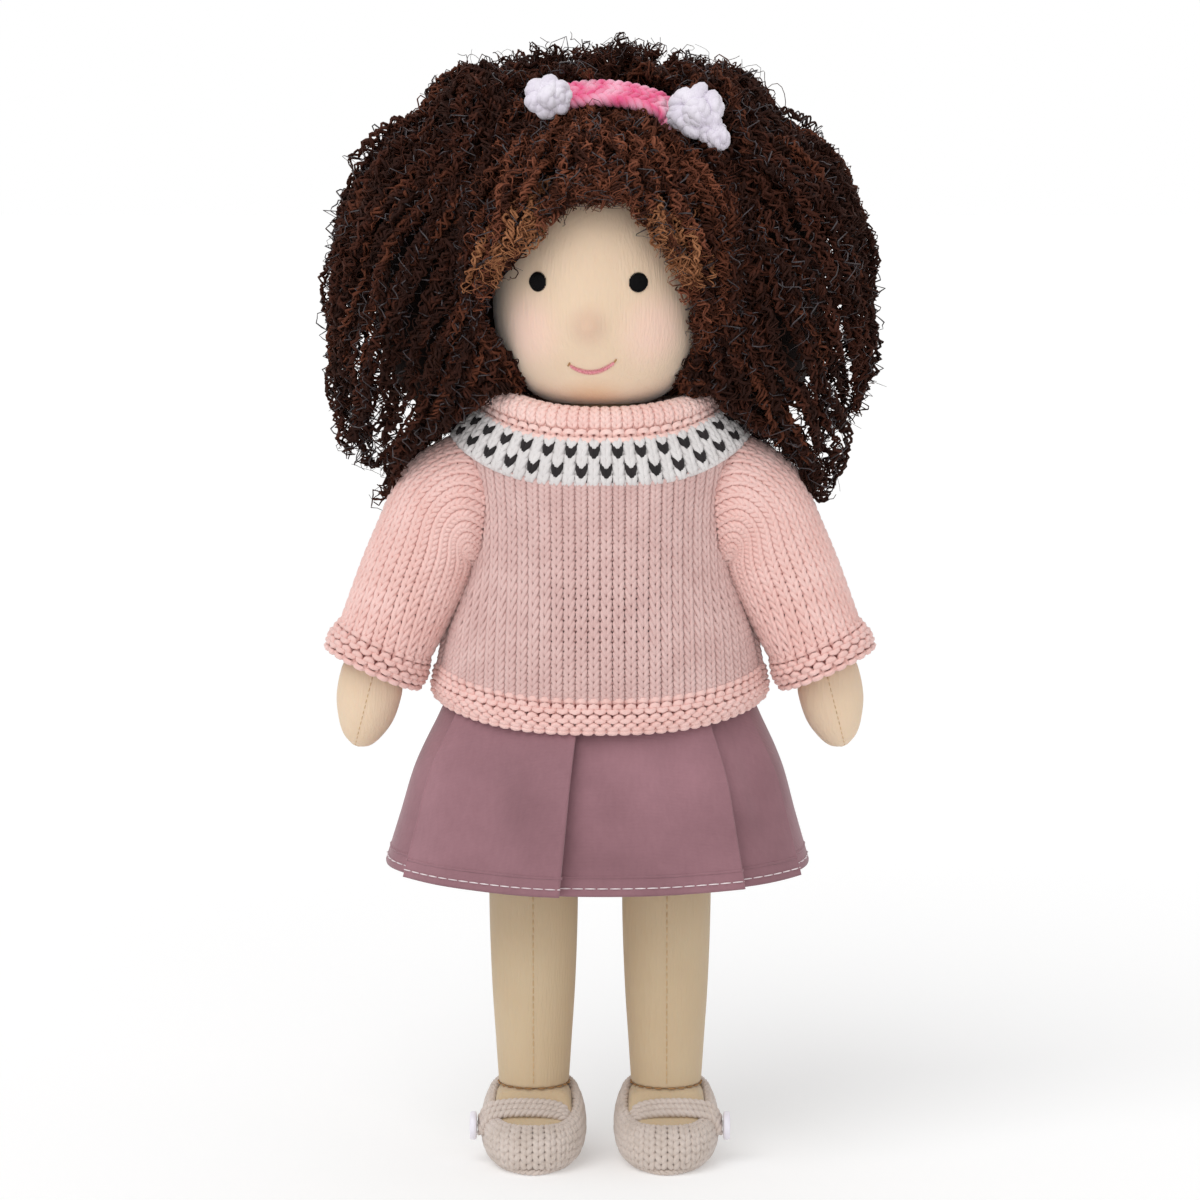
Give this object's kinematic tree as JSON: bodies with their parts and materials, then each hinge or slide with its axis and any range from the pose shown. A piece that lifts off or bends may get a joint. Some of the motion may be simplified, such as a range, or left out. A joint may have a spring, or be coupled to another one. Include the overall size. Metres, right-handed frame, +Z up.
{
  "type": "cloth doll",
  "caption": "Standing stuffed cloth doll with curly yarn hair, a crocheted hair band, a knitted sweater, a pleated skirt and crocheted strap shoes; head, arms, legs and shoe straps move.",
  "frame": {"origin": "bottom centre of the doll's box, on the surface under the shoe soles", "axes": "+Z up through the head, -Y the way the face looks, +X to the doll's own left"},
  "size_m": [0.1478, 0.0928, 0.3014],
  "materials": {
    "skin_jersey": "matte",
    "stuffing": "matte",
    "sweater_pink": "matte",
    "sweater_white": "matte",
    "skirt_cloth": "matte",
    "shoe_crochet": "matte",
    "button": "gloss",
    "embroidery_black": "satin",
    "embroidery_pink": "satin",
    "hair_yarn": "matte",
    "band_crochet": "matte",
    "flower_crochet": "matte"
  },
  "bodies": {
    "torso": {"trunk_skin": "skin_jersey", "trunk_stuffing": "stuffing", "neck": "skin_jersey", "sweater_bodice": "sweater_pink", "sweater_hem_band": "sweater_pink", "sweater_yoke": "sweater_white", "sweater_collar": "sweater_pink", "skirt_waistband": "skirt_cloth", "skirt": "skirt_cloth"},
    "head": {"head_skin": "skin_jersey", "head_stuffing": "stuffing", "eye_left": "embroidery_black", "eye_right": "embroidery_black", "mouth": "embroidery_pink", "hair_front": "hair_yarn", "hair_band": "band_crochet", "hair_flower_left": "flower_crochet", "hair_flower_right": "flower_crochet", "hair_bunch_left": "hair_yarn", "hair_bunch_right": "hair_yarn", "hair_mane": "hair_yarn"},
    "hips": {"hip_gusset": "skin_jersey"},
    "arm_left": {"arm_skin_left": "skin_jersey", "arm_stuffing_left": "stuffing", "sleeve_left": "sweater_pink", "cuff_left": "sweater_pink"},
    "leg_left": {"leg_skin_left": "skin_jersey", "leg_stuffing_left": "stuffing", "foot_left": "skin_jersey", "shoe_upper_left": "shoe_crochet", "shoe_sole_left": "shoe_crochet"},
    "strap_left": {"shoe_strap_left": "shoe_crochet", "shoe_button_left": "button"},
    "arm_right": {"arm_skin_right": "skin_jersey", "arm_stuffing_right": "stuffing", "sleeve_right": "sweater_pink", "cuff_right": "sweater_pink"},
    "leg_right": {"leg_skin_right": "skin_jersey", "leg_stuffing_right": "stuffing", "foot_right": "skin_jersey", "shoe_upper_right": "shoe_crochet", "shoe_sole_right": "shoe_crochet"},
    "strap_right": {"shoe_strap_right": "shoe_crochet", "shoe_button_right": "button"}
  },
  "joints": [
    {"name": "head_turn", "type": "hinge", "parent": "torso", "child": "head", "pos_m": [0, -0.0036, 0.2054], "axis": [0, 0, 1], "range_deg": [-20, 20]},
    {"name": "hip_fold", "type": "hinge", "parent": "torso", "child": "hips", "pos_m": [0, -0.0036, 0.1043], "axis": [-1, 0, 0], "range_deg": [0, 70], "deforming": ["skirt"]},
    {"name": "arm_left_swing", "type": "hinge", "parent": "torso", "child": "arm_left", "pos_m": [0.0394, -0.0036, 0.1813], "axis": [-1, 0, 0], "range_deg": [-15, 90]},
    {"name": "leg_left_swing", "type": "hinge", "parent": "hips", "child": "leg_left", "pos_m": [0.018, -0.0036, 0.1043], "axis": [-1, 0, 0], "range_deg": [-20, 20]},
    {"name": "strap_left_open", "type": "hinge", "parent": "leg_left", "child": "strap_left", "pos_m": [0.0078, -0.0176, 0.01259], "axis": [0, -1, 0], "range_deg": [0, 60]},
    {"name": "arm_right_swing", "type": "hinge", "parent": "torso", "child": "arm_right", "pos_m": [-0.0394, -0.0036, 0.1813], "axis": [-1, 0, 0], "range_deg": [-15, 90]},
    {"name": "leg_right_swing", "type": "hinge", "parent": "hips", "child": "leg_right", "pos_m": [-0.018, -0.0036, 0.1043], "axis": [-1, 0, 0], "range_deg": [-20, 20]},
    {"name": "strap_right_open", "type": "hinge", "parent": "leg_right", "child": "strap_right", "pos_m": [-0.0078, -0.0176, 0.01259], "axis": [0, 1, 0], "range_deg": [0, 60]}
  ]
}
